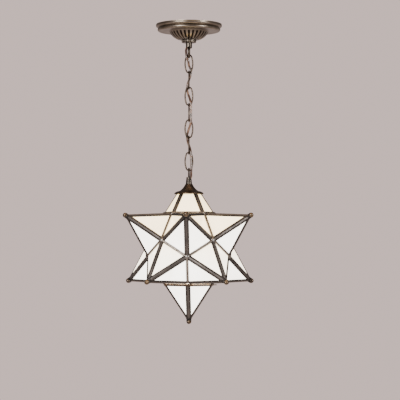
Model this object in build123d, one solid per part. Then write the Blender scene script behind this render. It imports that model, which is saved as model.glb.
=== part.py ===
from build123d import *
from math import acos, asin, cos, degrees, pi, radians, sin, sqrt, tan
import os

# A moravian star pendant: a twelve-pointed star of opal glass in bronze cames that hangs
# by seven chain links, with a cord woven through them, from a fluted ceiling canopy.
# Millimetres. The origin is the middle of the canopy's rim, on the ceiling, and +Z is up.
# The front, which faces the room, is -Y.

# ---- driving sizes -------------------------------------------------------------------
rim_radius = 65.1            # the canopy's outer edge
rim_height = 14.0            # its two rounded bands together
band_radius = 62.4           # the lower band
dome_radius = 39.2           # foot of the fluted bowl
dome_belly = (31.9, -24.1)   # halfway down the bowl
dome_flat_radius = 18.8      # where the bowl levels out
canopy_depth = 31.0
canopy_hole = 12.2
sheet = 1.2                  # thickness of the canopy's metal
bowl_wall = 2.4              # thicker where the flutes are cut
flute_count = 28
flute_radius = 1.9
flute_depth = 1.4
flute_inner, flute_outer = 21.5, 38.0

bar_length = 104.0           # crossbar over the outlet box
bar_width = 16.0
bar_thickness = 2.5
box_screw_spacing = 88.9     # the outlet box's own tapped ears
box_slot_length = 12.0
box_slot_radius = 2.4

thread_radius = 4.9          # lamp thread of the nipple and of the star's loop
thread_bore = 3.3
collar_radius = 14.6
collar_bottom = -36.5

wire = 2.9                   # diameter of the chain's wire
link_length = 38.2           # outside
link_width = 18.0            # outside
link_bow = 5.4               # radius of the wire's middle line round a link's ends
link_count = 7
link_gap = 0.1               # play where two links hang in each other

eye_wire = 5.3               # the canopy's loop
eye_outer = 25.0
eye_bottom = -67.5
star_eye_wire = 3.6          # the star's loop
star_eye_outer = 21.0

cord = 4.0                   # diameter of the lamp cord
cord_side = 3.75             # how far it stands off the chain's axis
cord_room = 0.5              # play round it in the loops' wire ways

tip_radius = 145.5           # star's centre to the end of a point
base_radius = 52.2           # round a point's five base corners
star_centre = -443.8
star_turn = -2.4             # degrees about Z
glass = 3.0                  # thickness of the opal glass
came_flange = 5.0            # each leg of a ridge came
came_metal = 1.0
heart = 2.0                  # half width of the came's web between two panes
ridge_inset = 2.2            # pane's edge to the ridge
valley_flange = 2.2          # each leg of a valley came
valley_metal = 0.9
valley_heart = 0.9
valley_inset = 1.1           # pane's edge to the valley
solder_radius = 5.0          # bead where three points meet
ball_radius = 5.5            # on every tip
cut_height = 106.8           # the top point ends here, above the star's centre

door_gap = 1.2               # access point's frame to the base edge
door_strip = 5.0             # width of its base frame
door_drop = 0.5              # its upper edge, below the base plane
hinge_tube_radius = 2.0
hinge_rod_radius = 1.0
hinge_play = 0.06

cap_top = -317.0
cap_radius = 28.6
plate_thickness = 1.6
locknut_flats = 14.0
locknut_height = 4.0

socket_radius = 18.0
screw_radius = 13.2          # medium screw base of the bulb
bulb_radius = 30.0

# ---- worked out ----------------------------------------------------------------------
golden = (1 + sqrt(5)) / 2
base_height = base_radius * golden ** 2 / 2
apothem = base_radius * cos(radians(36))
side = 2 * base_radius * sin(radians(36))
point_height = tip_radius - base_height
slant = sqrt(apothem ** 2 + point_height ** 2)
ridge_length = sqrt(base_radius ** 2 + point_height ** 2)
normals = (point_height ** 2 * cos(radians(72)) + apothem ** 2) / slant ** 2
half_dihedral = (pi - acos(normals)) / 2
edge_lean = side / 2 / slant
pitch = link_length - 2 * wire - link_gap
hang_top = eye_bottom + eye_wire + link_gap / 2       # where the first link hangs
plate_bottom = star_centre + cut_height
base_plane = star_centre - base_height
corner_clip = solder_radius + 0.3


def write(name, *shapes):
    """One node: one STEP file that holds the given solids."""
    solids = [solid for shape in shapes for solid in shape.solids()]
    export_step(Compound(children=solids), f"parts/{name}.step")
    total = sum(solid.volume for solid in solids)
    print(f"{name}: {len(solids)} solids, {total:.0f} mm3")


def around(angle, radius, z):
    """A point at an angle from the front, positive to the right."""
    a = radians(angle)
    return Vector(radius * sin(a), -radius * cos(a), z)


def turn_z(angle, shape):
    return Rot(0, 0, angle) * shape


def ring(outer, inner, top, bottom):
    """A round washer or tube on the vertical axis."""
    tube = Cylinder(outer, top - bottom) - Cylinder(inner, top - bottom)
    return Pos(0, 0, (top + bottom) / 2) * tube


def turned(points):
    """A solid turned about the vertical axis from (radius, height) points."""
    outline = Plane.XZ * make_face(Polyline(*points, close=True))
    return revolve(outline, Axis.Z)


# ---- canopy and what it hides --------------------------------------------------------
def bowl_arc(inward):
    """The fluted bowl's section, from its foot to where it levels out."""
    foot = (dome_radius - inward, -rim_height + min(inward, sheet))
    belly = (dome_belly[0] - 0.7 * inward, dome_belly[1] + 0.7 * inward)
    return ThreePointArc(foot, belly, (dome_flat_radius, -canopy_depth + inward))


def canopy_curve(inward, bowl_inward):
    """The canopy's section from the rim to its bowl, moved in by its thicknesses."""
    r = rim_radius - inward
    b = band_radius - inward
    z = -rim_height / 2
    low = -rim_height + inward
    return [
        Line((r, 0), (r, -1.5)),
        ThreePointArc((r, -1.5), (r - 0.3, z / 2 - 1.6), (r - 2.4, z + 0.6)),
        Line((r - 2.4, z + 0.6), (b - 1.6, z - 0.6)),
        ThreePointArc((b - 1.6, z - 0.6), (b - 0.1, z - 3.2), (b - 2.2, low)),
        Line((b - 2.2, low), (dome_radius - bowl_inward, low)),
        bowl_arc(bowl_inward),
    ]


def canopy():
    crest, under = -canopy_depth, -canopy_depth + bowl_wall
    across = [
        Line((rim_radius, 0), (rim_radius - sheet, 0)),
        Line((dome_flat_radius, crest), (canopy_hole, crest)),
        Line((canopy_hole, crest), (canopy_hole, under)),
        Line((canopy_hole, under), (dome_flat_radius, under)),
    ]
    outline = Wire(canopy_curve(0, 0) + across + canopy_curve(sheet, bowl_wall))
    shell = revolve(Plane.XZ * make_face(outline), Axis.Z)
    bowl = bowl_arc(0)
    centre = bowl.arc_center
    groove = Torus(bowl.radius + flute_radius - flute_depth, flute_radius)
    groove = Pos(centre.X, 0, centre.Y) * Rot(90, 0, 0) * groove
    middle = ((flute_inner + flute_outer) / 2, 0, -(rim_height + canopy_depth) / 2)
    reach = (flute_outer - flute_inner, 4 * flute_radius, canopy_depth - rim_height - 1.6)
    groove &= Pos(*middle) * Box(*reach)
    return shell - [turn_z(360 * k / flute_count, groove) for k in range(flute_count)]


def crossbar():
    bar = Box(bar_length, bar_width, bar_thickness)
    bar = fillet(bar.edges().filter_by(Axis.Z), 3.0)
    for x in (-1, 1):
        slot = extrude(SlotOverall(box_slot_length, 2 * box_slot_radius), 10, both=True)
        bar -= Pos(x * box_screw_spacing / 2, 0, 0) * slot
    bar -= Cylinder(thread_radius + 0.05, 10)
    bar -= Pos(22, 0, 0) * Cylinder(2.0, 10)
    return Pos(0, 0, -bar_thickness / 2) * bar


def ground_screw():
    shank = Pos(22, 0, -bar_thickness / 2) * Cylinder(1.95, bar_thickness)
    head = Pos(22, 0, -bar_thickness - 1.2) * Cylinder(4.2, 2.4)
    head = fillet(head.edges().sort_by(Axis.Z)[0], 0.8)
    slot = Pos(22, 0, -bar_thickness - 2.4) * Box(10, 1.0, 1.6)
    return shank + head - slot


def hex_nut(flats, height, hole, top):
    body = extrude(RegularPolygon(flats / 2, 6, major_radius=False), height / 2, both=True)
    return Pos(0, 0, top - height / 2) * (body - Cylinder(hole, height))


def canopy_nipple():
    return ring(thread_radius, thread_bore, 0, -33.0)


def loop_collar():
    """The knurled screw ring under the canopy."""
    bottom = collar_bottom
    top = -canopy_depth - 0.1
    body = turned([
        (11.6, top), (collar_radius - 0.8, top), (collar_radius, top - 0.8),
        (collar_radius, bottom + 1.0), (collar_radius - 1.0, bottom), (11.6, bottom),
    ])
    for k in range(30):
        body -= Rot(0, 0, 12 * k) * Pos(collar_radius + 0.25, 0, -34) * Cylinder(0.6, 10)
    return body


# ---- the lamp cord -------------------------------------------------------------------
def cord_route():
    """Down the nipple, out of the loop's left side, through the links to the star's loop."""
    s = cord_side
    joint = [hang_top - k * pitch for k in range(link_count + 1)]
    half = 6.0
    return [
        (0.3, 0.2, -2.0), (-0.2, 0.3, -13.5), (0.3, 0.0, -26.0), (0.0, 0.0, -38.0),
        (-6.4, -2.2, -50.5), (-5.3, -3.9, -58.5), (-4.4, -3.9, -69.5),
        (s, s, joint[1] + half), (s + 0.1, s, joint[1] - half),
        (-s, s, joint[2] + half), (-s, s + 0.1, joint[2] - half),
        (s, -s, joint[3] + half), (s + 0.2, -s - 0.1, joint[3] - half),
        (s + 0.3, -s - 0.3, joint[4] + half), (s, -s, joint[4] - half),
        (-s, s, joint[5] + half), (-s - 0.1, s, joint[5] - half),
        (s, -s, joint[6] + half), (s + 0.1, -s, joint[6] - half),
        (5.2, -4.3, joint[6] - half - 16.5), (4.5, -4.0, joint[7] - 5.0),
        (4.6, -1.4, joint[7] - 14.0), (0.0, 0.0, joint[7] - 26.0),
        (0.3, 0.2, joint[7] - 38.0), (0.0, 0.0, joint[7] - 52.0),
    ]


def cord_tube(radius):
    """A tube along the route, with an arc as large as the two runs allow at each point."""
    points = [Vector(*p) for p in cord_route()]
    radii = []
    for before, at, after in zip(points, points[1:], points[2:]):
        turn = radians((at - before).get_angle(after - at))
        run = min((at - before).length, (after - at).length)
        radii.append(0.45 * run / tan(turn / 2))
    path = FilletPolyline(*points, radius=radii)
    start = Plane(path @ 0, z_dir=path % 0)
    tube = sweep(start * Circle(radius), path=path)
    return tube, path.length, radii


# ---- loops and chain -----------------------------------------------------------------
def eye(outer, thickness, centre):
    """A round eye that stands across the room, in the YZ plane."""
    torus = Torus(outer / 2 - thickness / 2, thickness / 2)
    return Pos(0, 0, centre) * Rot(0, 90, 0) * torus


def canopy_loop(way):
    middle = eye_bottom + eye_outer / 2
    barrel = ring(11.5, thread_radius + 0.05, -24.0, -34.0)
    floor = ring(11.5, thread_bore, -34.0, collar_bottom)
    stem = ring(6.2, thread_bore, collar_bottom, -41.0)
    knuckle = Pos(0, 0, -44.5) * Cylinder(6.2, 7.0)
    knuckle = fillet(knuckle.edges().sort_by(Axis.Z)[0], 2.4)
    body = barrel + floor + stem + knuckle + eye(eye_outer, eye_wire, middle)
    return body - way


def star_loop(way):
    top = hang_top - link_count * pitch + link_gap / 2 + star_eye_wire
    middle = top - star_eye_outer / 2
    neck = Pos(0, 0, cap_top + 7.0) * Cone(6.4, 4.9, 14.0)
    stem = Pos(0, 0, cap_top - 14.5) * Cylinder(thread_radius, 29.0)
    bore = Pos(0, 0, cap_top - 12.0) * Cylinder(thread_bore, 40.0)
    body = neck + stem + eye(star_eye_outer, star_eye_wire, middle)
    return body - bore - way


def chain_link(number):
    """Odd links face the room and even ones stand across it."""
    long, wide = (link_length - wire) / 2, (link_width - wire) / 2
    rise = long - link_bow
    flank = (wide ** 2 + rise ** 2 - link_bow ** 2) / (2 * (wide - link_bow))
    lean = asin(rise / (flank - link_bow))
    x, z = wide - flank + flank * cos(lean), flank * sin(lean)
    oval = Plane.XZ * Wire([
        ThreePointArc((x, -z), (wide, 0), (x, z)),
        ThreePointArc((x, z), (0, long), (-x, z)),
        ThreePointArc((-x, z), (-wide, 0), (-x, -z)),
        ThreePointArc((-x, -z), (0, -long), (x, -z)),
    ])
    start = Plane(oval @ 0, z_dir=oval % 0)
    link = sweep(start * Circle(wire / 2), path=oval)
    top = hang_top - (number - 1) * pitch + wire + link_gap / 2
    turn = 0 if number % 2 else 90
    return Pos(0, 0, top - link_length / 2) * Rot(0, 0, turn) * link


# ---- the star: one point, standing on its base plane round +Z --------------------------
def pane_plane():
    """A pane's outer face: origin at the middle of its base edge, Y up to the tip."""
    out = (point_height / slant, 0, apothem / slant)
    return Plane(origin=(apothem, 0, base_height), x_dir=(0, 1, 0), z_dir=out)


def pane(base_inset, clip):
    """One triangular pane, clear of its cames and with its base corners clipped."""
    half = side / 2
    inset = ridge_inset / cos(edge_lean)
    low = half * (1 - base_inset / slant) - inset
    tip = slant * (1 - inset / half)
    outline = make_face(Polyline((-low, base_inset), (low, base_inset), (0, tip), close=True))
    for mirrored in (-1, 1):
        inward = radians(180 - (90 - degrees(edge_lean)) / 2)
        away = Vector(cos(inward), sin(inward)) * (clip - 20)
        corner = Pos(half + away.X, away.Y, 0) * Rot(0, 0, degrees(inward)) * Rectangle(40, 40)
        outline -= corner if mirrored == 1 else mirror(corner, Plane.YZ)
    return extrude(pane_plane() * outline, -glass)


def point_panes(base_inset=valley_inset, clip=corner_clip):
    return [turn_z(72 * k, pane(base_inset, clip)) for k in range(5)]


def angle_bar(half_angle, legs, web, metal, depth):
    """The section of a came over an edge: two legs on the panes and a web between them."""
    def at(along, off, mirrored):
        u = -along * cos(half_angle) + off * sin(half_angle)
        w = along * sin(half_angle) + off * cos(half_angle)
        return (u, mirrored * w)

    right = [at(legs, metal, 1), at(legs, 0, 1), at(web, 0, 1), at(web, -depth, 1)]
    left = [at(web, -depth, -1), at(web, 0, -1), at(legs, 0, -1), at(legs, metal, -1)]
    crest = (metal / sin(half_angle), 0)
    return make_face(Polyline(crest, *right, *left, close=True))


def ridge_came():
    """A came up one ridge, at the azimuth of a base corner turned onto +X."""
    along = Vector(-base_radius, 0, point_height) / ridge_length
    out = (point_height / ridge_length, 0, base_radius / ridge_length)
    plane = Plane(origin=(base_radius, 0, base_height), x_dir=out, z_dir=along)
    section = angle_bar(half_dihedral, came_flange, heart, came_metal, glass)
    return extrude(plane * section, ridge_length)


def above_strip(width):
    """The space that lies further up each pane than a strip along its base edge."""
    big = 400.0
    inside = Pos(0, 0, base_height) * Box(big, big, big)
    for k in range(5):
        plane = pane_plane()
        lower = Plane(origin=plane.origin + plane.y_dir * width, z_dir=plane.y_dir)
        inside -= turn_z(72 * k, lower * Pos(0, 0, -big / 2) * Box(big, big, big))
    return inside


def point_frame(strip, beads=True):
    """The five ridge cames of a point, soldered together at its tip."""
    frame = ridge_came().rotate(Axis.Z, 36)
    for k in range(1, 5):
        frame += ridge_came().rotate(Axis.Z, 36 + 72 * k)
    frame = frame & above_strip(strip)
    if beads:
        for k in range(5):
            corner = Pos(base_radius, 0, base_height) * Sphere(solder_radius)
            frame -= turn_z(36 + 72 * k, corner)
    return frame - Pos(0, 0, tip_radius - 1.0) * Sphere(ball_radius)


def tips():
    """Each point's name, direction and the neighbour that fixes how it is turned."""
    level = 1 / sqrt(5)
    flat = 2 / sqrt(5)
    up, down = Vector(0, 0, 1), Vector(0, 0, -1)
    upper = [around(star_turn + 72 * k, flat, level) for k in range(5)]
    lower = [around(star_turn + 36 + 72 * k, flat, -level) for k in range(5)]
    named = [("top", up, upper[0])]
    named += [(f"upper_{k + 1}", tip, up) for k, tip in enumerate(upper)]
    named += [(f"lower_{k + 1}", tip, down) for k, tip in enumerate(lower)]
    named += [("access", down, lower[0])]
    return named


def stand(tip, neighbour):
    """Where a point made round +Z stands on the star."""
    flat = neighbour - tip * neighbour.dot(tip)
    return Plane(origin=(0, 0, star_centre), x_dir=flat, z_dir=tip).location


def core_corners():
    """The twenty corners where three points meet."""
    corners = []
    high = golden ** 2 / 2
    for height, radius, first in (
        (high, 1.0, 36), (high - 1, golden, 36), (1 - high, golden, 0), (-high, 1.0, 0),
    ):
        for k in range(5):
            place = around(star_turn + first + 72 * k, radius * base_radius, 0)
            corners.append(Vector(place.X, place.Y, star_centre + height * base_radius))
    return corners


def core_edges():
    corners = core_corners()
    pairs = []
    for i, a in enumerate(corners):
        for b in corners[i + 1:]:
            if abs((a - b).length - side) < 0.1:
                pairs.append((a, b))
    return pairs


def in_base_plane(a, b):
    return abs((a.Z + b.Z) / 2 - base_plane) < 0.1


def valley_angle():
    """Half of the angle between two panes across a valley, seen from outside."""
    core = acos(-1 / sqrt(5))
    lift = acos(apothem / slant)
    return pi - core / 2 - lift


def underside_rise():
    """How far the panes round the access point rise towards their own tips."""
    return 2 * valley_angle() - pi + acos(apothem / slant)


def valley_came(a, b):
    """A narrow came down one valley, between two beads of solder."""
    middle = (a + b) / 2
    out = (middle - Vector(0, 0, star_centre)).normalized()
    along = (b - a).normalized()
    plane = Plane(origin=a, x_dir=out, z_dir=along)
    h = valley_angle()

    def at(along_pane, off, mirrored):
        u = along_pane * cos(h) + off * sin(h)
        w = along_pane * sin(h) - off * cos(h)
        return (u, mirrored * w)

    f, w, m = valley_flange, valley_heart, valley_metal
    section = make_face(Polyline(
        (m / sin(h), 0), at(f, m, 1), at(f, 0, 1), at(w, 0, 1), at(w, -glass, 1),
        at(w, -glass, -1), at(w, 0, -1), at(f, 0, -1), at(f, m, -1), close=True,
    ))
    bar = extrude(plane * section, side)
    for corner in (a, b):
        bar -= Pos(*corner) * Sphere(solder_radius)
    return bar


def opening_bar(angle):
    """One side of the frame round the opening that the access point closes."""
    lean = underside_rise()
    body = Plane(origin=(0, 0, base_plane), x_dir=tuple(around(angle, 1, 0)), z_dir=(0, 0, 1))
    rise = Vector(cos(lean), sin(lean))
    down = Vector(sin(lean), -cos(lean))
    corner = Vector(apothem, 0)

    def at(out, off):
        place = corner + rise * out + down * off
        return (place.X, place.Y)

    f, w, m = valley_flange, valley_heart, valley_metal
    section = make_face(Polyline(
        at(0, m), at(f, m), at(f, 0), at(w, 0), at(w, -glass), at(0, -glass), close=True,
    ))
    upright = Plane(origin=body.origin, x_dir=body.x_dir, z_dir=-body.y_dir)
    bar = extrude(upright * section, side / 2 + 3, both=True)
    for end in (-36, 36):
        bar -= Pos(*around(angle + end, base_radius, base_plane)) * Sphere(solder_radius)
    return bar


def solder_beads():
    beads = []
    for corner in core_corners():
        bead = Pos(*corner) * Sphere(solder_radius)
        if abs(corner.Z - base_plane) < 0.1:
            bead -= Pos(corner.X, corner.Y, base_plane - 19.85) * Box(40, 40, 40)
        beads.append(bead)
    return beads


def tip_ball(tip):
    centre = Vector(0, 0, star_centre) + tip * (tip_radius - 1.0)
    return Pos(*centre) * Sphere(ball_radius)


# ---- the access point ----------------------------------------------------------------
def door_strip_bar():
    """One side of the access point's base frame, in the point's own place."""
    plane = pane_plane()
    upright = Plane(origin=plane.origin, x_dir=plane.y_dir, z_dir=plane.x_dir)
    low, high, web = door_gap, door_gap + door_strip, door_gap + 1.0
    section = make_face(Polyline(
        (low, valley_metal), (high, valley_metal), (high, 0), (web, 0),
        (web, -glass), (low, -glass), close=True,
    ))
    bar = extrude(upright * section, side, both=True)
    wedge = Polyline((0, 0), (200, 200 * tan(radians(36))), (200, -200 * tan(radians(36))),
                     close=True)
    bar &= extrude(make_face(wedge), 300)
    return bar & Pos(0, 0, base_height + door_drop + 100) * Box(300, 300, 200)


def access_place():
    name, tip, neighbour = tips()[-1]
    return stand(tip, neighbour)


def hinge_middle():
    """The hinge's axis lies in the valley under the front right base edge."""
    off_body, off_door = 3.3, 2.6
    lean = underside_rise()
    n_body = Vector(sin(lean), -cos(lean))
    n_door = Vector(point_height / slant, -apothem / slant)
    cross = n_body.X * n_door.Y - n_body.Y * n_door.X
    x = (off_body * n_door.Y - off_door * n_body.Y) / cross
    z = (off_door * n_body.X - off_body * n_door.X) / cross
    return around(star_turn + 36, apothem + x, base_plane + z)


def hinge_plane():
    """Across the hinge's axis: X points outwards and Z runs along the axis."""
    out = around(star_turn + 36, 1, 0)
    return Plane(origin=hinge_middle(), x_dir=tuple(out), z_dir=(-out.Y, out.X, 0))


def hinge_tube():
    tube = Cylinder(hinge_tube_radius, 44.0) - Cylinder(hinge_rod_radius + hinge_play, 44.0)
    return hinge_plane() * tube


def hinge_rod():
    """The rod and the two lugs that solder it under the opening's frame."""
    up = 1 if hinge_plane().y_dir.Z > 0 else -1
    rod = Pos(0, 0, 2.5) * Cylinder(hinge_rod_radius, 67.0)
    for z in (-26.0, 26.0):
        lug = Pos(0.55, up * 0.55, z) * Box(2.1, 3.5, 6.0)
        rod += lug
    return hinge_plane() * rod


def catch_tongue():
    """The spring tongue that holds the access point's far corner in the opening."""
    out = around(star_turn + 216, 1, 0)
    place = Plane(origin=around(star_turn + 216, 44.2, base_plane + 1.0),
                  x_dir=tuple(out), z_dir=(0, 0, 1))
    return place * Box(1.3, 9.0, 11.0)


# ---- cap, socket and bulb ------------------------------------------------------------
def top_cap():
    """A spun bell-shaped cap with a turned brim over the cut end of the top point."""
    b = plate_bottom
    outer = [
        Line((5.5, cap_top), (7.2, cap_top)),
        ThreePointArc((7.2, cap_top), (11.4, cap_top - 7.0), (19.4, cap_top - 13.9)),
        ThreePointArc((19.4, cap_top - 13.9), (24.6, cap_top - 15.0), (cap_radius, b + 2.2)),
        ThreePointArc((cap_radius, b + 2.2), (cap_radius + 0.3, b + 1.1), (cap_radius, b)),
        Line((cap_radius, b), (cap_radius - 1.4, b)),
        Line((cap_radius - 1.4, b), (cap_radius - 1.4, b + 1.8)),
        ThreePointArc((cap_radius - 1.4, b + 1.8), (23.4, b + 3.4), (18.4, cap_top - 15.2)),
        ThreePointArc((18.4, cap_top - 15.2), (10.0, cap_top - 8.4), (5.5, cap_top - 1.6)),
        Line((5.5, cap_top - 1.6), (5.5, cap_top)),
    ]
    return revolve(Plane.XZ * make_face(Wire(outer)), Axis.Z)


def cap_plate():
    """A five-sided plate on the ends of the cames, under the cap."""
    plate = extrude(RegularPolygon(25.4, 5), plate_thickness)
    plate = plate.rotate(Axis.Z, star_turn + 36 - 90)
    return Pos(0, 0, plate_bottom) * plate - Pos(0, 0, plate_bottom) * Cylinder(5.1, 20)


def socket_parts():
    top = cap_top - 26.0
    r = socket_radius
    cap = turned([
        (thread_radius, top), (7.4, top), (8.0, top - 1.6), (r - 3.0, top - 8.0),
        (r, top - 13.0), (r, top - 15.0), (r - 0.8, top - 15.0), (r - 0.9, top - 12.6),
        (r - 4.0, top - 8.4), (7.6, top - 2.8), (thread_radius, top - 2.8),
    ])
    shell = ring(r, r - 0.8, top - 15.0, top - 56.0)
    block = ring(r - 1.0, 2.6, top - 16.0, top - 30.0)
    screw = ring(screw_radius + 1.2, screw_radius + 0.4, top - 30.0, top - 55.0)
    contact = ring(4.0, 1.5, top - 30.0, top - 31.2)
    return cap, shell, block, screw, contact


def bulb_base():
    top = cap_top - 58.0
    r = screw_radius
    points = [(0, top), (3.2, top), (4.6, top - 1.4), (r - 1.4, top - 3.2)]
    for k in range(6):
        points += [(r, top - 4.6 - 2.9 * k), (r - 0.9, top - 6.0 - 2.9 * k)]
    points += [(r - 0.6, top - 24.0), (0, top - 24.0)]
    return turned(points)


def bulb_glass():
    top = cap_top - 82.0
    r = bulb_radius
    neck = screw_radius - 0.6
    low = top - 84.0
    centre = low + r

    def outline(inward):
        a = (neck - inward, top)
        b = (r - inward, centre + 4.0)
        lowest = (0, low + inward)
        side_point = ((r - inward) * sin(radians(50)), centre - (r - inward) * cos(radians(50)))
        swell = (neck - inward + 6.2, top - 26.0)
        return [
            ThreePointArc(a, swell, b),
            Line(b, (r - inward, centre)),
            ThreePointArc((r - inward, centre), side_point, lowest),
        ]

    outer, inner = outline(0), outline(0.9)
    closing = [Line((neck, top), (neck - 0.9, top)), Line((0, low), (0, low + 0.9))]
    return revolve(Plane.XZ * make_face(Wire(outer + inner + closing)), Axis.Z)


def main():
    os.makedirs("parts", exist_ok=True)
    way = cord_tube(cord / 2 + cord_room)[0]
    lamp_cord, cord_length, radii = cord_tube(cord / 2)
    print("cord radii:", [round(r, 1) for r in radii])
    steady = pi * (cord / 2) ** 2 * cord_length
    print(f"cord: {cord_length:.0f} mm long, {lamp_cord.volume:.0f} of {steady:.0f} mm3")

    write("canopy", canopy())
    write("crossbar", crossbar())
    write("ground_screw", ground_screw())
    write("canopy_nipple", canopy_nipple())
    write("nipple_locknut", hex_nut(locknut_flats, locknut_height, thread_radius, -2.5))
    write("loop_collar", loop_collar())
    write("canopy_loop", canopy_loop(way))
    for number in range(1, link_count + 1):
        write(f"chain_link_{number}", chain_link(number))
    write("lamp_cord", lamp_cord)

    write("star_loop", star_loop(way))
    write("top_cap", top_cap())
    write("cap_plate", cap_plate())
    write("cap_locknut", hex_nut(locknut_flats, locknut_height, thread_radius, plate_bottom))
    cap, shell, block, screw, contact = socket_parts()
    write("socket_cap", cap)
    write("socket_shell", shell)
    write("socket_block", block)
    write("socket_screw_shell", screw)
    write("socket_contact", contact)
    write("bulb_base", bulb_base())
    write("bulb_glass", bulb_glass())

    panes = point_panes()
    frame = point_frame(valley_flange + 0.1)
    cut = Pos(0, 0, cut_height + 100) * Box(300, 300, 200)
    for name, tip, neighbour in tips()[:-1]:
        place = stand(tip, neighbour)
        top = name == "top"
        shown = [one - cut for one in panes] if top else panes
        write(f"point_glass_{name}", *[place * one for one in shown])
        write(f"point_cames_{name}", place * (frame - cut if top else frame))
    edges = core_edges()
    write("valley_cames", *[valley_came(a, b) for a, b in edges if not in_base_plane(a, b)])
    write("opening_frame", *[opening_bar(star_turn + 36 + 72 * k) for k in range(5)])
    write("solder_beads", *solder_beads())
    write("tip_balls", *[tip_ball(tip) for name, tip, near in tips()[1:-1]])
    write("hinge_rod", hinge_rod())

    place = access_place()
    frame = point_frame(door_gap + door_strip, beads=False)
    strips = [turn_z(72 * k, door_strip_bar()) for k in range(5)]
    base_frame = place * (strips[0] + strips[1:]) - hinge_plane() * Cylinder(
        hinge_tube_radius, 70.0)
    panes = [place * one for one in point_panes(door_gap + 1.2, 3.0)]
    write("access_glass", *panes)
    write("access_cames", place * frame)
    write("access_base_frame", base_frame)
    write("access_tip_ball", tip_ball(Vector(0, 0, -1)))
    write("hinge_tube", hinge_tube())
    write("catch_tongue", catch_tongue() - place * frame - base_frame - panes)


main()
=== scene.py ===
import bpy
from math import acos, atan, cos, pi, radians, sin, sqrt
from mathutils import Matrix, Vector


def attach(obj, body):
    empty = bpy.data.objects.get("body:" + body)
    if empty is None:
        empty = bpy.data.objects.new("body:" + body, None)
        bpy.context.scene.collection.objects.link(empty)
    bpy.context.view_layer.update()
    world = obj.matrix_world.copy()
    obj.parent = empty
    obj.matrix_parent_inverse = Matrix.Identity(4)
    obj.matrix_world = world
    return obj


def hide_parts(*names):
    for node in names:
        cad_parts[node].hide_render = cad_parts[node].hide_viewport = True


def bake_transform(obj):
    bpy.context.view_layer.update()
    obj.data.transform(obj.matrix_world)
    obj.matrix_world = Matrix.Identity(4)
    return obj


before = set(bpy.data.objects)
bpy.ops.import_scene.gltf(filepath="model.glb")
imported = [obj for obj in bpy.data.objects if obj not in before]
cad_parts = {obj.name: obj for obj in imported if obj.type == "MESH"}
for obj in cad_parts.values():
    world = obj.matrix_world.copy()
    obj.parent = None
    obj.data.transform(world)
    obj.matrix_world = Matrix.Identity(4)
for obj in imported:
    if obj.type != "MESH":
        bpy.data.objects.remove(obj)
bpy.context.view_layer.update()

MM = 0.001

# ---- The camera ----------------------------------------------------------------------
# The photograph looks at the pendant from 3 m in front, level with the middle of the star
# and tilted up a little, so the pendant hangs left of the middle of the picture.
picture_size = 400             # pixels
focal_length_pixels = 1534
horizon_row = 248.3
axis_column = 188.9
camera_distance = 3030 * MM
star_centre = -443.8 * MM

view_camera = bpy.data.objects.new("camera", bpy.data.cameras.new("camera"))
view_camera.data.sensor_width = 36.0
view_camera.data.lens = focal_length_pixels / picture_size * view_camera.data.sensor_width
pitch_up = atan((horizon_row - picture_size / 2) / focal_length_pixels)
turn_right = atan((picture_size / 2 - axis_column) / focal_length_pixels)
view_camera.location = (0, -camera_distance, star_centre)
view_camera.rotation_euler = (pi / 2 + pitch_up, 0, -turn_right)
bpy.context.scene.collection.objects.link(view_camera)
bpy.context.scene.camera = view_camera


# ---- The lamp cord -------------------------------------------------------------------
# Two stranded copper conductors twisted in a clear gold vinyl jacket, 4.4 mm thick. It comes
# out of the canopy's loop, is woven through the chain and goes down the star's hollow stem.
# It is one cord, cut here at the middle of each link into separate stretches.
cord_route = [
    (0.0003, 0.0002, -0.0020), (-0.0002, 0.0003, -0.0135), (0.0003, 0.0, -0.0260),
    (0.0, 0.0, -0.0380), (-0.0064, -0.0022, -0.0505), (-0.0053, -0.0039, -0.0585),
    (-0.0050, -0.0040, -0.0660), (-0.0010, -0.0036, -0.0730), (-0.0006, -0.0006, -0.0790),
    (0.0008, 0.0028, -0.0840), (0.0042, 0.0040, -0.0895), (0.00385, 0.00375, -0.10045),
    (-0.00375, 0.00375, -0.12075), (-0.00375, 0.00385, -0.13275),
    (0.00375, -0.00375, -0.15305), (0.00395, -0.00385, -0.16505),
    (0.00405, -0.00405, -0.18535), (0.00375, -0.00375, -0.19735),
    (-0.00375, 0.00375, -0.21765), (-0.00385, 0.00375, -0.22965),
    (0.00375, -0.00375, -0.24995), (0.00385, -0.00375, -0.26195),
    (0.0052, -0.0043, -0.27845), (0.0045, -0.0040, -0.29325), (0.0046, -0.0014, -0.30225),
    (0.0, 0.0, -0.31425), (0.0003, 0.0002, -0.32625), (0.0, 0.0, -0.34025),
]
cord_diameter = 4.4 * MM
strand_lay = 9 * MM            # from one turn of the twisted conductors to the next
wave_pitch = 314 * MM          # from band to band in a wave texture of scale 1
cord_shade_length = 24 * MM    # the painted light and shade along the cord change over about this length
first_link_hangs = -62.15 * MM
link_pitch = 32.3 * MM
link_count = 7


def linear(code):
    """A six-digit sRGB colour as linear red, green and blue, and a full alpha."""
    parts = [int(code[i:i + 2], 16) / 255 for i in (0, 2, 4)]
    return [p / 12.92 if p <= 0.04045 else ((p + 0.055) / 1.055) ** 2.4 for p in parts] + [1]


def add_node(material, kind, sockets, **settings):
    """A shader node; each socket takes a number, a colour or another node's output."""
    node = material.node_tree.nodes.new("ShaderNode" + kind)
    for name, value in settings.items():
        setattr(node, name, value)
    for name, value in sockets.items():
        if isinstance(value, bpy.types.NodeSocket):
            material.node_tree.links.new(value, node.inputs[name])
        else:
            node.inputs[name].default_value = value
    return node


def new_material(name):
    """A material ready for its own nodes."""
    material = bpy.data.materials.new(name)
    material.use_nodes = True
    return material


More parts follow.
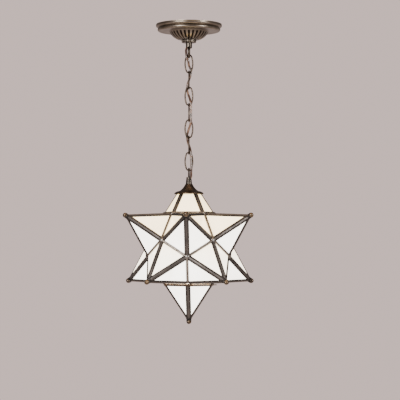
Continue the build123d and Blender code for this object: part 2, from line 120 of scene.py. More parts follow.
def join_up(material, sockets):
    """Sets or links the sockets of the material's shader."""
    shader = material.node_tree.nodes["Principled BSDF"]
    for name, value in sockets.items():
        if isinstance(value, bpy.types.NodeSocket):
            material.node_tree.links.new(value, shader.inputs[name])
        else:
            shader.inputs[name].default_value = value


def select_only(piece):
    """Nothing else is selected, so the operators act on this piece alone."""
    bpy.ops.object.select_all(action="DESELECT")
    piece.select_set(True)
    bpy.context.view_layer.objects.active = piece


def vinyl_cord():
    # Clear gold vinyl over bare copper, with painted light and shade: stretches coloured beige
    # as if lit and dark brown as if the pair turned into shade, with the twist as faint
    # slanting ridges.
    material = new_material("clear gold vinyl over copper strands")
    place = add_node(material, "TexCoord", {}).outputs["Object"]
    turned = add_node(material, "Mapping", {"Vector": place, "Rotation": (0.5, 0.35, 0)})
    strands = add_node(
        material, "TexWave",
        {"Vector": turned.outputs["Vector"], "Scale": wave_pitch / strand_lay,
         "Distortion": 1.5, "Detail": 2.0, "Detail Scale": 1.0}, bands_direction="Z")
    # Painted light and shade: stretches of the cord coloured beige as if lit and dark brown as
    # if in shade.
    painted_light_and_shade = add_node(material, "TexNoise", {"Vector": place, "Scale": 1 / cord_shade_length,
                                            "Detail": 1.0})
    shade = add_node(material, "Mix", {"Factor": 0.15, "A": painted_light_and_shade.outputs["Fac"],
                                       "B": strands.outputs["Fac"]})
    colours = add_node(material, "ValToRGB", {"Fac": shade.outputs["Result"]})
    colours.color_ramp.elements[0].position = 0.45
    colours.color_ramp.elements[0].color = linear("432f25")
    colours.color_ramp.elements[1].position = 0.8
    colours.color_ramp.elements[1].color = linear("9a7966")
    lumps = add_node(material, "Bump", {"Height": strands.outputs["Fac"], "Strength": 0.3,
                                        "Distance": 0.3 * MM})
    join_up(material, {"Base Color": colours.outputs["Color"], "Roughness": 0.28,
                       "Normal": lumps.outputs["Normal"], "Coat Weight": 0.6,
                       "Coat Roughness": 0.12})
    return material


cord_line = bpy.data.curves.new("cord_line", "CURVE")
cord_line.dimensions = "3D"
spline = cord_line.splines.new("NURBS")
spline.points.add(len(cord_route) - 1)
for point, place in zip(spline.points, cord_route):
    point.co = (*place, 1)
spline.order_u = 3
spline.use_endpoint_u = True
cord_line.resolution_u = 8
cord_line.bevel_depth = cord_diameter / 2
cord_line.bevel_resolution = 4
cord_line.use_fill_caps = True
whole_cord = bpy.data.objects.new("whole_cord", cord_line)
bpy.context.scene.collection.objects.link(whole_cord)
select_only(whole_cord)
bpy.ops.object.convert(target="MESH")
whole_cord.data.materials.append(vinyl_cord())

for k in range(link_count + 1):
    stretch = whole_cord.copy()
    stretch.data = whole_cord.data.copy()
    stretch.name = f"lamp_cord_{k + 1}"
    bpy.context.scene.collection.objects.link(stretch)
    joint_height = first_link_hangs - k * link_pitch
    select_only(stretch)
    bpy.ops.object.mode_set(mode="EDIT")
    for side, last in ((1, 0), (-1, link_count)):
        if k != last:
            bpy.ops.mesh.select_all(action="SELECT")
            bpy.ops.mesh.bisect(plane_co=(0, 0, joint_height + side * link_pitch / 2),
                                plane_no=(0, 0, side), use_fill=True, clear_outer=True)
    bpy.ops.object.mode_set(mode="OBJECT")
    bpy.ops.object.shade_smooth_by_angle(angle=radians(50))
    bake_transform(stretch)
    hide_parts("lamp_cord")
bpy.data.objects.remove(whole_cord)


# ---- The crossbar and its fixings ----------------------------------------------------
# Pressed steel, zinc plated: the bar that two screws hold to the outlet box, the threaded
# nipple that the canopy hangs on and its locknut. The ground screw is dyed green.
def zinc_plate(name, colour):
    # Zinc plate: a cool grey skin with faint spangle, so its shine varies in patches.
    material = new_material(name)
    place = add_node(material, "TexCoord", {}).outputs["Object"]
    spangle = add_node(material, "TexVoronoi", {"Vector": place, "Scale": 1 / (3 * MM)})
    shine = add_node(material, "MapRange", {"Value": spangle.outputs["Distance"],
                                            "To Min": 0.28, "To Max": 0.42})
    join_up(material, {"Base Color": linear(colour), "Metallic": 1.0,
                       "Roughness": shine.outputs["Result"]})
    return material


def finish_node(name, material):
    """Gives a CAD node its finish."""
    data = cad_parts[name].data
    data.materials.clear()
    data.materials.append(material)


plated_steel = zinc_plate("zinc plated steel", "b4b4b0")
for name in ("crossbar", "canopy_nipple", "nipple_locknut", "cap_locknut"):
    finish_node(name, plated_steel)
finish_node("ground_screw", zinc_plate("green dyed steel", "2f7a45"))


# ---- The canopy ----------------------------------------------------------------------
# Spun and pressed sheet brass, plated antique pewter-bronze: two rolled bands, a level
# underside and a bowl with pressed flutes. The nipple and the collar hold it up.
def antique_plate(name, dark, middle, light, patch, shine, drift_of_shine=0.12):
    # Antiqued plate: dark dye left in the hollows and rubbed off the high places, so the
    # colour drifts in soft patches and the shine drifts with it. patch is in millimetres.
    material = new_material(name)
    place = add_node(material, "TexCoord", {}).outputs["Object"]
    drift = add_node(material, "TexNoise", {"Vector": place, "Scale": 1 / (patch * MM),
                                            "Detail": 6.0, "Roughness": 0.62})
    colours = add_node(material, "ValToRGB", {"Fac": drift.outputs["Fac"]})
    colours.color_ramp.elements[0].position = 0.3
    colours.color_ramp.elements[0].color = linear(dark)
    colours.color_ramp.elements[1].position = 0.72
    colours.color_ramp.elements[1].color = linear(light)
    colours.color_ramp.elements.new(0.5).color = linear(middle)
    gloss = add_node(material, "MapRange", {"Value": drift.outputs["Fac"],
                                            "To Min": shine + drift_of_shine,
                                            "To Max": shine - drift_of_shine / 2})
    grain = add_node(material, "TexNoise", {"Vector": place, "Scale": 1 / (0.8 * MM),
                                            "Detail": 3.0})
    skin = add_node(material, "Bump", {"Height": grain.outputs["Fac"], "Strength": 0.12,
                                       "Distance": 0.1 * MM})
    join_up(material, {"Base Color": colours.outputs["Color"], "Metallic": 1.0,
                       "Roughness": gloss.outputs["Result"],
                       "Normal": skin.outputs["Normal"]})
    return material


flute_count = 28
bowl_radius = 39 * MM
bowl_edge = 2 * MM             # the painted flute shade fades out over this width at the bowl's edge


def fluted_plate():
    # The canopy's plate, with painted shade in the hollows between the bowl's pressed flutes
    # and the ribs left bare. The flutes are pressed at even turns round the canopy's axis.
    material = antique_plate("antique pewter plate", "6a6259", "81786e", "9b9288", 30, 0.3,
                             drift_of_shine=0.05)
    shader = material.node_tree.nodes["Principled BSDF"]
    plate_colour = shader.inputs["Base Color"].links[0].from_socket
    place = add_node(material, "TexCoord", {}).outputs["Object"]
    axes = add_node(material, "SeparateXYZ", {"Vector": place})
    turn = add_node(material, "Math", {0: axes.outputs["X"], 1: axes.outputs["Y"]},
                    operation="ARCTAN2")
    around = add_node(material, "Math", {0: turn.outputs["Value"], 1: float(flute_count)},
                      operation="MULTIPLY")
    wave = add_node(material, "Math", {0: around.outputs["Value"]}, operation="COSINE")
    flat = add_node(material, "CombineXYZ", {"X": axes.outputs["X"], "Y": axes.outputs["Y"]})
    radius = add_node(material, "VectorMath", {0: flat.outputs["Vector"]}, operation="LENGTH")
    in_bowl = add_node(material, "MapRange", {"Value": radius.outputs["Value"],
                                              "From Min": bowl_radius,
                                              "From Max": bowl_radius - bowl_edge})
    # Painted shade: dark colour in each flute's hollow, inside the bowl only.
    hollow = add_node(material, "MapRange", {"Value": wave.outputs["Value"],
                                             "From Min": -0.5, "From Max": 0.3})
    flute_shade = add_node(material, "Math", {0: hollow.outputs["Result"],
                                      1: in_bowl.outputs["Result"]}, operation="MULTIPLY")
    colours = add_node(material, "Mix", {"Factor": flute_shade.outputs["Value"], "A": plate_colour,
                                         "B": linear("241f1b")}, data_type="RGBA")
    join_up(material, {"Base Color": colours.outputs["Result"]})
    return material


finish_node("canopy", fluted_plate())


# ---- The collar and the canopy's loop -------------------------------------------------
# Turned brass in the canopy's plate but darker: the knurled screw ring that holds the
# canopy up, and the cast loop with its hollow stem that the chain hangs from.
dark_plate = antique_plate("dark antique bronze", "2f2b27", "4d4741", "776e64", 6, 0.32)
for name in ("loop_collar", "canopy_loop"):
    finish_node(name, dark_plate)


# ---- The chain -----------------------------------------------------------------------
# Seven oval links bent from 2.9 mm steel wire, antique bronze plated. Each hangs in the
# one above, turned a quarter.
chain_plate = antique_plate("bronze plated chain wire", "2f2a26", "4a423a", "6b6157", 6, 0.34)
for k in range(link_count):
    finish_node(f"chain_link_{k + 1}", chain_plate)


# ---- The cap and the star's loop -----------------------------------------------------
# Spun brass, browned: a bell-shaped cap with a turned brim over the cut end of the top
# point, the cast loop above it and the plate soldered to the came ends below it.
cap_brass = antique_plate("browned brass", "2e2721", "453b33", "635648", 9, 0.38)
finish_node("top_cap", cap_brass)
finish_node("cap_plate", plated_steel)
finish_node("star_loop", antique_plate(
    "blackened bronze", "1f1d1c", "393531", "5a544e", 6, 0.36))


# ---- The socket and the bulb ---------------------------------------------------------
# A medium screw socket: brass cap and shell round a glazed porcelain block. The frosted
# bulb screws into it inside the star. The catch's tongue is the same spring brass as the
# socket's contact.
def glazed_porcelain():
    # Glazed porcelain: near white and smooth, with the glaze pooled a little unevenly.
    material = new_material("glazed porcelain")
    place = add_node(material, "TexCoord", {}).outputs["Object"]
    pooled = add_node(material, "TexNoise", {"Vector": place, "Scale": 1 / (7 * MM)})
    colours = add_node(material, "ValToRGB", {"Fac": pooled.outputs["Fac"]})
    colours.color_ramp.elements[0].color = linear("e6e2d8")
    colours.color_ramp.elements[1].color = linear("f2efe8")
    join_up(material, {"Base Color": colours.outputs["Color"], "Roughness": 0.18})
    return material


def frosted_glass():
    # Bulb glass etched inside: an even white haze that hides the filament.
    material = new_material("frosted bulb glass")
    place = add_node(material, "TexCoord", {}).outputs["Object"]
    etch = add_node(material, "TexNoise", {"Vector": place, "Scale": 1 / (0.7 * MM)})
    haze = add_node(material, "MapRange", {"Value": etch.outputs["Fac"],
                                           "To Min": 0.4, "To Max": 0.6})
    join_up(material, {"Base Color": linear("f8f4ea"), "Roughness": haze.outputs["Result"],
                       "Emission Color": linear("fff0d8"), "Emission Strength": 3.0})
    return material


socket_brass = antique_plate("polished socket brass", "a98445", "c39c58", "d8b676", 20, 0.2)
for name in ("socket_cap", "socket_shell", "socket_screw_shell"):
    finish_node(name, socket_brass)
spring_brass = antique_plate("spring brass", "b08c4c", "c6a25f", "dcc07f", 12, 0.24)
for name in ("socket_contact", "catch_tongue"):
    finish_node(name, spring_brass)
finish_node("socket_block", glazed_porcelain())
finish_node("bulb_base", zinc_plate("pressed aluminium shell", "c8c8ca"))
finish_node("bulb_glass", frosted_glass())


# ---- The glass -----------------------------------------------------------------------
# Opal sheet glass, 3 mm, cut in triangles: white with faint wisps, its surface gently waved
# from rolling. The bulb's light through it is painted on as a glow.
tip_radius = 145.5 * MM         # from the star's middle to each tip
lit_core = 50 * MM             # the painted glow is whitest up to here, near the bulb
open_height = 35 * MM          # above this the panes have nothing over them and get no painted shade


def opal_glass():
    # Opal glass over a lit bulb, with the light painted on: a glow, milky white near the bulb
    # and creamier out at the tips, and a painted warm reflection of the ceiling light on the
    # panes that face up, the upper ones most, with painted shade on the lower ones from the
    # points over them. The gloss shows the sheet's rolled waves.
    material = new_material("opal sheet glass")
    place = add_node(material, "TexCoord", {}).outputs["Object"]
    wisps = add_node(material, "TexNoise", {"Vector": place, "Scale": 1 / (45 * MM),
                                            "Detail": 4.0, "Distortion": 1.2})
    colours = add_node(material, "ValToRGB", {"Fac": wisps.outputs["Fac"]})
    colours.color_ramp.elements[0].position = 0.35
    colours.color_ramp.elements[0].color = linear("ebe3d6")
    colours.color_ramp.elements[1].position = 0.65
    colours.color_ramp.elements[1].color = linear("f4f1ec")
    centred = add_node(material, "Mapping", {"Vector": place,
                                             "Location": (0, 0, -star_centre)})
    distance = add_node(material, "VectorMath", {0: centred.outputs["Vector"]},
                        operation="LENGTH")
    # Painted glow from the bulb: whitest near the star's middle, creamier towards the tips.
    reach = add_node(material, "MapRange", {"Value": distance.outputs["Value"],
                                            "From Min": lit_core, "From Max": tip_radius})
    glow = add_node(material, "ValToRGB", {"Fac": reach.outputs["Result"]})
    glow.color_ramp.elements[0].color = linear("fffdf8")
    glow.color_ramp.elements[1].color = linear("faf3e6")
    # Painted light: a warm cream reflection of the ceiling light on panes that face up,
    # weakened on the lower panes as painted shade from the points above.
    facing = add_node(material, "TexCoord", {}).outputs["Normal"]
    upward = add_node(material, "SeparateXYZ", {"Vector": facing})
    facing_ceiling_light = add_node(material, "MapRange", {"Value": upward.outputs["Z"],
                                                    "From Min": 0.05, "From Max": 0.6})
    height = add_node(material, "SeparateXYZ", {"Vector": centred.outputs["Vector"]})
    unshaded_by_upper_points = add_node(material, "MapRange", {"Value": height.outputs["Z"],
                                                  "From Min": -open_height,
                                                  "From Max": open_height,
                                                  "To Min": 0.35})
    painted_ceiling_light = add_node(material, "Math", {0: facing_ceiling_light.outputs["Result"],
                                         1: unshaded_by_upper_points.outputs["Result"]},
                      operation="MULTIPLY")
    lit = add_node(material, "Mix", {"Factor": painted_ceiling_light.outputs["Value"],
                                     "A": glow.outputs["Color"], "B": linear("e8c472")},
                   data_type="RGBA")
    cloud = add_node(material, "MapRange", {"Value": wisps.outputs["Fac"], "From Min": 0.35,
                                            "From Max": 0.65, "To Min": 0.16, "To Max": 0.0})
    clouded = add_node(material, "Mix", {"Factor": cloud.outputs["Result"],
                                         "A": lit.outputs["Result"], "B": linear("cfc6b8")},
                       data_type="RGBA")
    waves = add_node(material, "TexNoise", {"Vector": place, "Scale": 1 / (12 * MM),
                                            "Detail": 2.0})
    rolled = add_node(material, "Bump", {"Height": waves.outputs["Fac"], "Strength": 0.15,
                                         "Distance": 0.4 * MM})
    # The glass itself glows: the bulb's light through it is painted on as emission.
    join_up(material, {"Base Color": colours.outputs["Color"], "Roughness": 0.16,
                       "Normal": rolled.outputs["Normal"],
                       "Emission Color": clouded.outputs["Result"],
                       "Emission Strength": 4.3})
    return material


point_names = ["top"] + [f"{row}_{k}" for row in ("upper", "lower") for k in range(1, 6)]
opal = opal_glass()
for name in [f"point_glass_{name}" for name in point_names] + ["access_glass"]:
    finish_node(name, opal)


# ---- The ridge cames -----------------------------------------------------------------
# Brass strip folded to an angle and antiqued nearly black, with a rounded crest painted
# brighter, partly as rubbed wear and partly as a painted highlight. Five meet at each tip and
# are soldered there.
golden = (1 + sqrt(5)) / 2
base_radius = 52.2 * MM
base_height = base_radius * golden ** 2 / 2
base_apothem = base_radius * cos(pi / 5)
point_height = tip_radius - base_height
pane_slant = sqrt(base_apothem ** 2 + point_height ** 2)
ridge_length = sqrt(base_radius ** 2 + point_height ** 2)
half_dihedral = (pi - acos(
    (point_height ** 2 * cos(2 * pi / 5) + base_apothem ** 2) / pane_slant ** 2)) / 2
came_leg = 5.5 * MM            # each leg of the folded strip
came_metal = 1.0 * MM
crest_round = 2.4 * MM         # how far the rounding of the fold reaches down each leg
lip_round = 0.35 * MM
seam_edge = 2.3 * MM           # from a soldered point's base edge to its ridge cames
door_edge = 6.2 * MM           # the same at the access point, which has a wider frame
cut_height = 106.8 * MM        # where the cap cuts the top point, above the star's middle
star_turn = radians(-2.4)
touching = 0.1 * MM            # places nearer than this are the same place


def patinated_came():
    # Patinated brass came: brown black along the lips and a grey bronze along the crest, which
    # is partly rubbed wear and partly a painted highlight; both uneven, with finger-sized
    # blotches and fine brush marks.
    material = new_material("patinated brass came")
    place = add_node(material, "TexCoord", {}).outputs["Object"]
    crest = add_node(material, "Attribute", {}, attribute_name="crest")
    blotches = add_node(material, "TexNoise", {"Vector": place, "Scale": 1 / (26 * MM),
                                               "Detail": 3.0, "Roughness": 0.5})
    marks = add_node(material, "TexNoise", {"Vector": place, "Scale": 1 / (3.5 * MM),
                                            "Detail": 3.0, "Roughness": 0.6})
    uneven = add_node(material, "Mix", {"Factor": 0.35, "A": blotches.outputs["Fac"],
                                        "B": marks.outputs["Fac"]})
    # The crest's grey bronze is partly rubbed wear and partly a painted highlight along the
    # fold.
    crest_wear_and_highlight = add_node(material, "Math", {0: crest.outputs["Fac"],
                                       1: uneven.outputs["Result"]}, operation="MULTIPLY")
    rubbed_and_highlit = add_node(material, "MapRange", {"Value": crest_wear_and_highlight.outputs["Value"],
                                             "From Min": 0.12, "From Max": 0.5})
    dyed = add_node(material, "ValToRGB", {"Fac": uneven.outputs["Result"]})
    dyed.color_ramp.elements[0].position = 0.35
    dyed.color_ramp.elements[0].color = linear("262424")
    dyed.color_ramp.elements[1].position = 0.65
    dyed.color_ramp.elements[1].color = linear("383432")
    colours = add_node(material, "Mix", {"Factor": rubbed_and_highlit.outputs["Result"],
                                         "A": dyed.outputs["Color"],
                                         "B": linear("625d5a")}, data_type="RGBA")
    gloss = add_node(material, "MapRange", {"Value": uneven.outputs["Result"],
                                            "To Min": 0.52, "To Max": 0.36})
    join_up(material, {"Base Color": colours.outputs["Result"], "Metallic": 0.7,
                       "Roughness": gloss.outputs["Result"]})
    return material


def stand(tip, neighbour):
    """Where a point made round +Z stands on the star."""
    across = (neighbour - tip * neighbour.dot(tip)).normalized()
    turned = Matrix((across, tip.cross(across), tip)).transposed().to_4x4()
    return Matrix.Translation((0, 0, star_centre)) @ turned


def star_tips():
    """Each point's name and where it stands."""
    level, flat = 1 / sqrt(5), 2 / sqrt(5)
    upper = []
    lower = []
    for k in range(5):
        a = star_turn + k * 2 * pi / 5
        upper.append(Vector((flat * sin(a), -flat * cos(a), level)))
        b = a + pi / 5
        lower.append(Vector((flat * sin(b), -flat * cos(b), -level)))
    up, down = Vector((0, 0, 1)), Vector((0, 0, -1))
    places = {"top": stand(up, upper[0]), "access": stand(down, lower[0])}
    for k in range(5):
        places[f"upper_{k + 1}"] = stand(upper[k], up)
        places[f"lower_{k + 1}"] = stand(lower[k], down)
    return places


def mark_crest(piece, half_width):
    """Notes how near each vertex of the folded strip is to its crest."""
    attribute = piece.data.attributes.new("crest", "FLOAT", "POINT")
    for vertex, value in zip(piece.data.vertices, attribute.data):
        value.value = max(0.0, 1 - abs(vertex.co.x) / half_width)


def folded_strip():
    """A came along +Y with its fold at the top: a strip with a rounded crest and lips."""
    half_width = came_leg * sin(half_dihedral)
    drop = came_leg * cos(half_dihedral)
    bpy.ops.object.select_all(action="DESELECT")
    bpy.ops.mesh.primitive_grid_add(x_subdivisions=2, y_subdivisions=1, size=1)
    strip = bpy.context.object
    bpy.ops.object.mode_set(mode="EDIT")
    bpy.ops.transform.resize(value=(2 * half_width, ridge_length, 1))
    bpy.ops.transform.translate(value=(0, ridge_length / 2, -drop))
    bpy.ops.mesh.select_mode(type="EDGE")
    bpy.ops.mesh.select_all(action="DESELECT")
    bpy.ops.object.mode_set(mode="OBJECT")
    for edge in strip.data.edges:
        edge.select = all(abs(strip.data.vertices[v].co.x) < touching for v in edge.vertices)
    bpy.ops.object.mode_set(mode="EDIT")
    bpy.ops.transform.translate(value=(0, 0, drop))
    bpy.ops.mesh.bevel(offset=crest_round, segments=5, affect="EDGES")
    bpy.ops.object.mode_set(mode="OBJECT")
    mark_crest(strip, half_width)
    wall = strip.modifiers.new("metal", "SOLIDIFY")
    wall.thickness = came_metal
    wall.offset = 1
    bpy.ops.object.modifier_apply(modifier="metal")
    lips = strip.modifiers.new("lips", "BEVEL")
    lips.width = lip_round
    lips.segments = 2
    lips.angle_limit = radians(50)
    bpy.ops.object.modifier_apply(modifier="lips")
    return strip


def cut_below(piece, place, normal):
    """Cuts the piece with a plane and closes the cut; the side the normal leaves goes."""
    select_only(piece)
    bpy.ops.object.mode_set(mode="EDIT")
    bpy.ops.mesh.select_all(action="SELECT")
    bpy.ops.mesh.bisect(plane_co=place, plane_no=normal, use_fill=True, clear_inner=True)
    bpy.ops.object.mode_set(mode="OBJECT")


def point_came_frame(base_cut):
    """Five folded strips up the ridges of a point that stands round +Z."""
    strip = folded_strip()
    along = Vector((-base_radius, 0, point_height)) / ridge_length
    out = Vector((point_height, 0, base_radius)) / ridge_length
    turned = Matrix((along.cross(out), along, out)).transposed().to_4x4()
    strip.data.transform(Matrix.Translation((base_radius, 0, base_height)) @ turned)
    strip.data.transform(Matrix.Rotation(pi / 5, 4, "Z"))
    for side in (0, 2 * pi / 5):
        up_pane = Vector((-base_apothem * cos(side), -base_apothem * sin(side),
                          point_height)) / pane_slant
        edge = Vector((base_apothem * cos(side), base_apothem * sin(side), base_height))
        cut_below(strip, edge + up_pane * base_cut, up_pane)
    copies = [strip]
    for k in range(1, 5):
        other = strip.copy()
        other.data = strip.data.copy()
        other.data.transform(Matrix.Rotation(k * 2 * pi / 5, 4, "Z"))
        bpy.context.scene.collection.objects.link(other)
        copies.append(other)
    select_only(strip)
    for other in copies[1:]:
        other.select_set(True)
    bpy.ops.object.join()
    return strip


def place_copy(pattern, name, matrix):
    """A copy of the pattern, with its own mesh, set in its place."""
    piece = pattern.copy()
    piece.data = pattern.data.copy()
    piece.name = name
    piece.data.transform(matrix)
    bpy.context.scene.collection.objects.link(piece)
    select_only(piece)
    bpy.ops.object.shade_smooth_by_angle(angle=radians(35))
    return piece


came_brass = patinated_came()
tips = star_tips()
came_pattern = point_came_frame(seam_edge)
came_pattern.data.materials.append(came_brass)
for name in point_names:
    cames = place_copy(came_pattern, f"ridge_cames_{name}", tips[name])
    if name == "top":
        cut_below(cames, (0, 0, star_centre + cut_height), (0, 0, -1))
    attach(cames, "star")
    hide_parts(f"point_cames_{name}")
bpy.data.objects.remove(came_pattern)
door_pattern = point_came_frame(door_edge)
door_pattern.data.materials.append(came_brass)
door_cames = place_copy(door_pattern, "ridge_cames_access", tips["access"])
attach(door_cames, "access_point")
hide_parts("access_cames")
bpy.data.objects.remove(door_pattern)


# ---- The valley cames ----------------------------------------------------------------
# Narrow brass channel in the valleys, run over with tin solder by hand, so each is a low
# grey bead that wavers a little. It runs from one corner's solder to the next.
valley_bead_radius = 3.1 * MM
valley_bead_lift = 1.0 * MM
bead_rings = 16                # a bead can waver at each of them
bead_waver = 0.22 * MM
corner_solder = 5.0 * MM
base_plane = star_centre - base_height


def solder_skin(name, dark, light, patch):
    # Tin solder: dull grey with a slightly wrinkled skin, and patina left in its folds.
    return antique_plate(name, dark, light, light, patch, 0.36)


def core_corners():
    """The twenty corners where three points meet."""
    high = golden ** 2 / 2
    corners = []
    for height, radius, first in ((high, 1, 1), (high - 1, golden, 1),
                                  (1 - high, golden, 0), (-high, 1, 0)):
        for k in range(5):
            a = star_turn + (first + 2 * k) * pi / 5
            place = Vector((radius * sin(a), -radius * cos(a), height)) * base_radius
            corners.append(place + Vector((0, 0, star_centre)))
    return corners


def turned_to(direction):
    """The turn that brings +Z to a direction."""
    return direction.to_track_quat("Z", "Y").to_matrix().to_4x4()


def join_pieces(parts, name):
    """One piece made of several meshes."""
    select_only(parts[0])
    for other in parts[1:]:
        other.select_set(True)
    bpy.ops.object.join()
    parts[0].name = name
    return parts[0]


def valley_bead(start, end, seed):
    """A wavering bead of solder along one valley."""
    along = (end - start).normalized()
    middle = (start + end) / 2
    out = (middle - Vector((0, 0, star_centre))).normalized()
    length = (end - start).length - corner_solder
    bpy.ops.object.select_all(action="DESELECT")
    bpy.ops.mesh.primitive_cylinder_add(vertices=14, radius=valley_bead_radius, depth=length)
    bead = bpy.context.object
    bpy.ops.object.mode_set(mode="EDIT")
    for ring in range(1, bead_rings):
        height = (ring / bead_rings - 0.5) * length
        bpy.ops.mesh.select_all(action="SELECT")
        bpy.ops.mesh.bisect(plane_co=(0, 0, height), plane_no=(0, 0, 1))
    bpy.ops.mesh.select_all(action="SELECT")
    bpy.ops.transform.vertex_random(offset=bead_waver, seed=seed)
    bpy.ops.mesh.vertices_smooth(factor=0.3, repeat=2)
    bpy.ops.object.mode_set(mode="OBJECT")
    bead.data.transform(Matrix.Translation(middle + out * valley_bead_lift) @ turned_to(along))
    return bead


valley_solder = solder_skin("tinned valley came", "453f3a", "7f7973", 7)
corners = core_corners()
edge_length = 2 * base_radius * sin(pi / 5)
beads = []
for i, start in enumerate(corners):
    for end in corners[i + 1:]:
        in_opening = abs((start.z + end.z) / 2 - base_plane) < touching
        if abs((start - end).length - edge_length) < touching and not in_opening:
            beads.append(valley_bead(start, end, len(beads)))
valleys = join_pieces(beads, "valley_seams")
bpy.ops.object.shade_smooth_by_angle(angle=radians(50))
valleys.data.materials.append(valley_solder)
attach(valleys, "star")
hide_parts("valley_cames")


# ---- The opening's frame and the access point's base ------------------------------------
# The opening is framed in the same channel as the valleys. The access point's own base frame
# is a wider strip of brown bronze, lighter than the cames, with golden glints painted on in
# patches, with the hinge tube on it and the rod through.
finish_node("opening_frame", came_brass)
# Painted glints: golden patches in the strip's colour.
bronze_with_painted_glints = antique_plate("bronze strip with painted glints", "433a35", "65594f", "97794f", 8, 0.32)
for name in ("access_base_frame", "hinge_tube", "hinge_rod"):
    finish_node(name, bronze_with_painted_glints)


# ---- The solder ----------------------------------------------------------------------
# Tin solder: a flattened bead where three points meet and a round drop on every tip. The tips'
# drops are grey, and some carry a painted warm gold reflection.
tip_drop_radius = 5.0 * MM
tip_drop_sink = 1.0 * MM       # the drop's middle is this far below the tip
corner_flat = 0.72             # a corner's bead is this much lower than it is wide
drop_waver = 0.5 * MM
opening_gap = 0.15 * MM        # the corner beads stop this far above the access point
tip_seed = 40


def solder_drop(radius, flat, seed):
    """A drop of solder round the origin, a little uneven, flattened along Z."""
    bpy.ops.object.select_all(action="DESELECT")
    bpy.ops.mesh.primitive_ico_sphere_add(subdivisions=4, radius=radius)
    drop = bpy.context.object
    bpy.ops.object.mode_set(mode="EDIT")
    bpy.ops.transform.vertex_random(offset=drop_waver, seed=seed)
    bpy.ops.mesh.vertices_smooth(factor=0.5, repeat=6)
    bpy.ops.transform.resize(value=(1, 1, flat))
    bpy.ops.object.mode_set(mode="OBJECT")
    return drop


middle_of_star = Vector((0, 0, star_centre))
drops = []
for seed, corner in enumerate(corners):
    drop = solder_drop(corner_solder, corner_flat, seed)
    out = (corner - middle_of_star).normalized()
    drop.data.transform(Matrix.Translation(corner) @ turned_to(out))
    if abs(corner.z - base_plane) < touching:
        cut_below(drop, (0, 0, base_plane + opening_gap), (0, 0, 1))
    drops.append(drop)
corner_beads = join_pieces(drops, "corner_solder")
bpy.ops.object.shade_smooth_by_angle(angle=radians(50))
corner_beads.data.materials.append(solder_skin("tin solder", "5c5855", "989592", 3))
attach(corner_beads, "star")
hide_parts("solder_beads")


# The colour drifts in patches over several tips, so some drops are grey and others carry a
# painted warm gold reflection.
drop_solder = antique_plate("patinated solder drop with painted warm reflections", "38332f", "5f554b", "9a7d52", 45, 0.3)
tip_drops = []
for seed, (name, place) in enumerate(sorted(tips.items())):
    if name != "top":
        drop = solder_drop(tip_drop_radius, 1.0, tip_seed + seed)
        drop.data.transform(place @ Matrix.Translation((0, 0, tip_radius - tip_drop_sink)))
        drop.data.materials.append(drop_solder)
        if name == "access":
            door_drop = drop
        else:
            tip_drops.append(drop)
star_drops = join_pieces(tip_drops, "tip_solder")
bpy.ops.object.shade_smooth()
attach(star_drops, "star")
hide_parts("tip_balls")
select_only(door_drop)
bpy.ops.object.shade_smooth()
door_drop.name = "access_tip_solder"
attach(door_drop, "access_point")
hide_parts("access_tip_ball")


# ---- The room ------------------------------------------------------------------------
# A pale room: a plain floor that glows a little as if a room's light fell on it, two soft
# lights in front, left and right, and a warm one above for the painted ceiling.
floor_height = -2400 * MM
floor_radius = 9000 * MM
lights_aim = star_centre + 150 * MM
bpy.ops.object.select_all(action="DESELECT")
bpy.ops.mesh.primitive_circle_add(vertices=160, radius=floor_radius, fill_type="NGON",
                                  location=(0, 0, floor_height))
floor = bpy.context.object
floor.name = "floor"
floor_paint = new_material("pale floor paint")
join_up(floor_paint, {"Base Color": linear("f2ece8"), "Roughness": 0.8,
                  "Emission Color": linear("c9b5b0"), "Emission Strength": 0.5})
floor.data.materials.append(floor_paint)


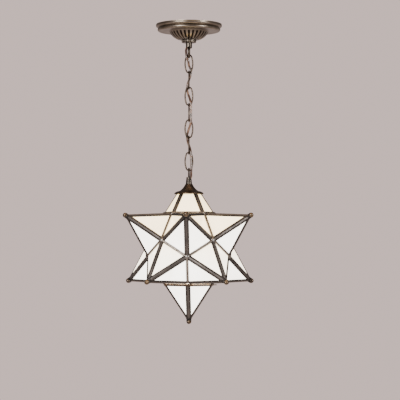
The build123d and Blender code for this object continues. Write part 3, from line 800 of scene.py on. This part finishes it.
def soft_light(name, azimuth, elevation, distance, size, power, colour):
    """A square soft light, in metres and watts, that faces the star from azimuth and
    elevation in degrees; azimuth 0 is the camera's side."""
    a, e = radians(azimuth), radians(elevation)
    back = Vector((sin(a) * cos(e), -cos(a) * cos(e), sin(e)))
    lamp = bpy.data.objects.new(name, bpy.data.lights.new(name, "AREA"))
    lamp.data.size = size
    lamp.data.energy = power
    lamp.data.color = linear(colour)[:3]
    lamp.location = Vector((0, 0, lights_aim)) + back * distance
    lamp.rotation_mode = "QUATERNION"
    lamp.rotation_quaternion = back.to_track_quat("Z", "Y")
    bpy.context.scene.collection.objects.link(lamp)


soft_light("left_light", -30, 7, 2.4, 0.9, 60, "fffaf5")
soft_light("right_light", 50, 7, 2.4, 0.6, 38, "fffaf5")
soft_light("ceiling_light", 0, 78, 2.2, 1.6, 30, "ffd9b0")


def tone(world, colour, strength):
    """A shader that gives one even light."""
    node = world.node_tree.nodes.new("ShaderNodeBackground")
    node.inputs["Color"].default_value = linear(colour)
    node.inputs["Strength"].default_value = strength
    return node.outputs["Background"]


def mixed(world, share, first, second):
    """Two shaders mixed: a share of 1 is all second."""
    node = world.node_tree.nodes.new("ShaderNodeMixShader")
    for socket, value in zip(node.inputs, (share, first, second)):
        world.node_tree.links.new(value, socket)
    return node.outputs["Shader"]


# The room is dim but for the wall behind the star, below the ceiling: the canopy's
# underside mirrors it. The camera sees nothing but that wall.
room = bpy.data.worlds.new("room")
bpy.context.scene.world = room
room.use_nodes = True
direction = add_node(room, "TexCoord", {}).outputs["Generated"]
parts = add_node(room, "SeparateXYZ", {"Vector": direction})
behind = add_node(room, "MapRange", {"Value": parts.outputs["Y"],
                                     "From Min": 0.4, "From Max": 0.8})
below = add_node(room, "MapRange", {"Value": parts.outputs["Z"],
                                    "From Min": -0.02, "From Max": -0.1, "To Max": 0.8})
on_wall = add_node(room, "Math", {0: behind.outputs["Result"], 1: below.outputs["Result"]},
                   operation="MULTIPLY")
lit_room = mixed(room, on_wall.outputs["Value"],
                 tone(room, "b9aca4", 0.5), tone(room, "c9b5b0", 1.2))
seen = add_node(room, "LightPath", {}).outputs["Is Camera Ray"]
room_shader = mixed(room, seen, lit_room, tone(room, "c9b5b0", 1.45))
room.node_tree.links.new(room_shader, room.node_tree.nodes["World Output"].inputs["Surface"])
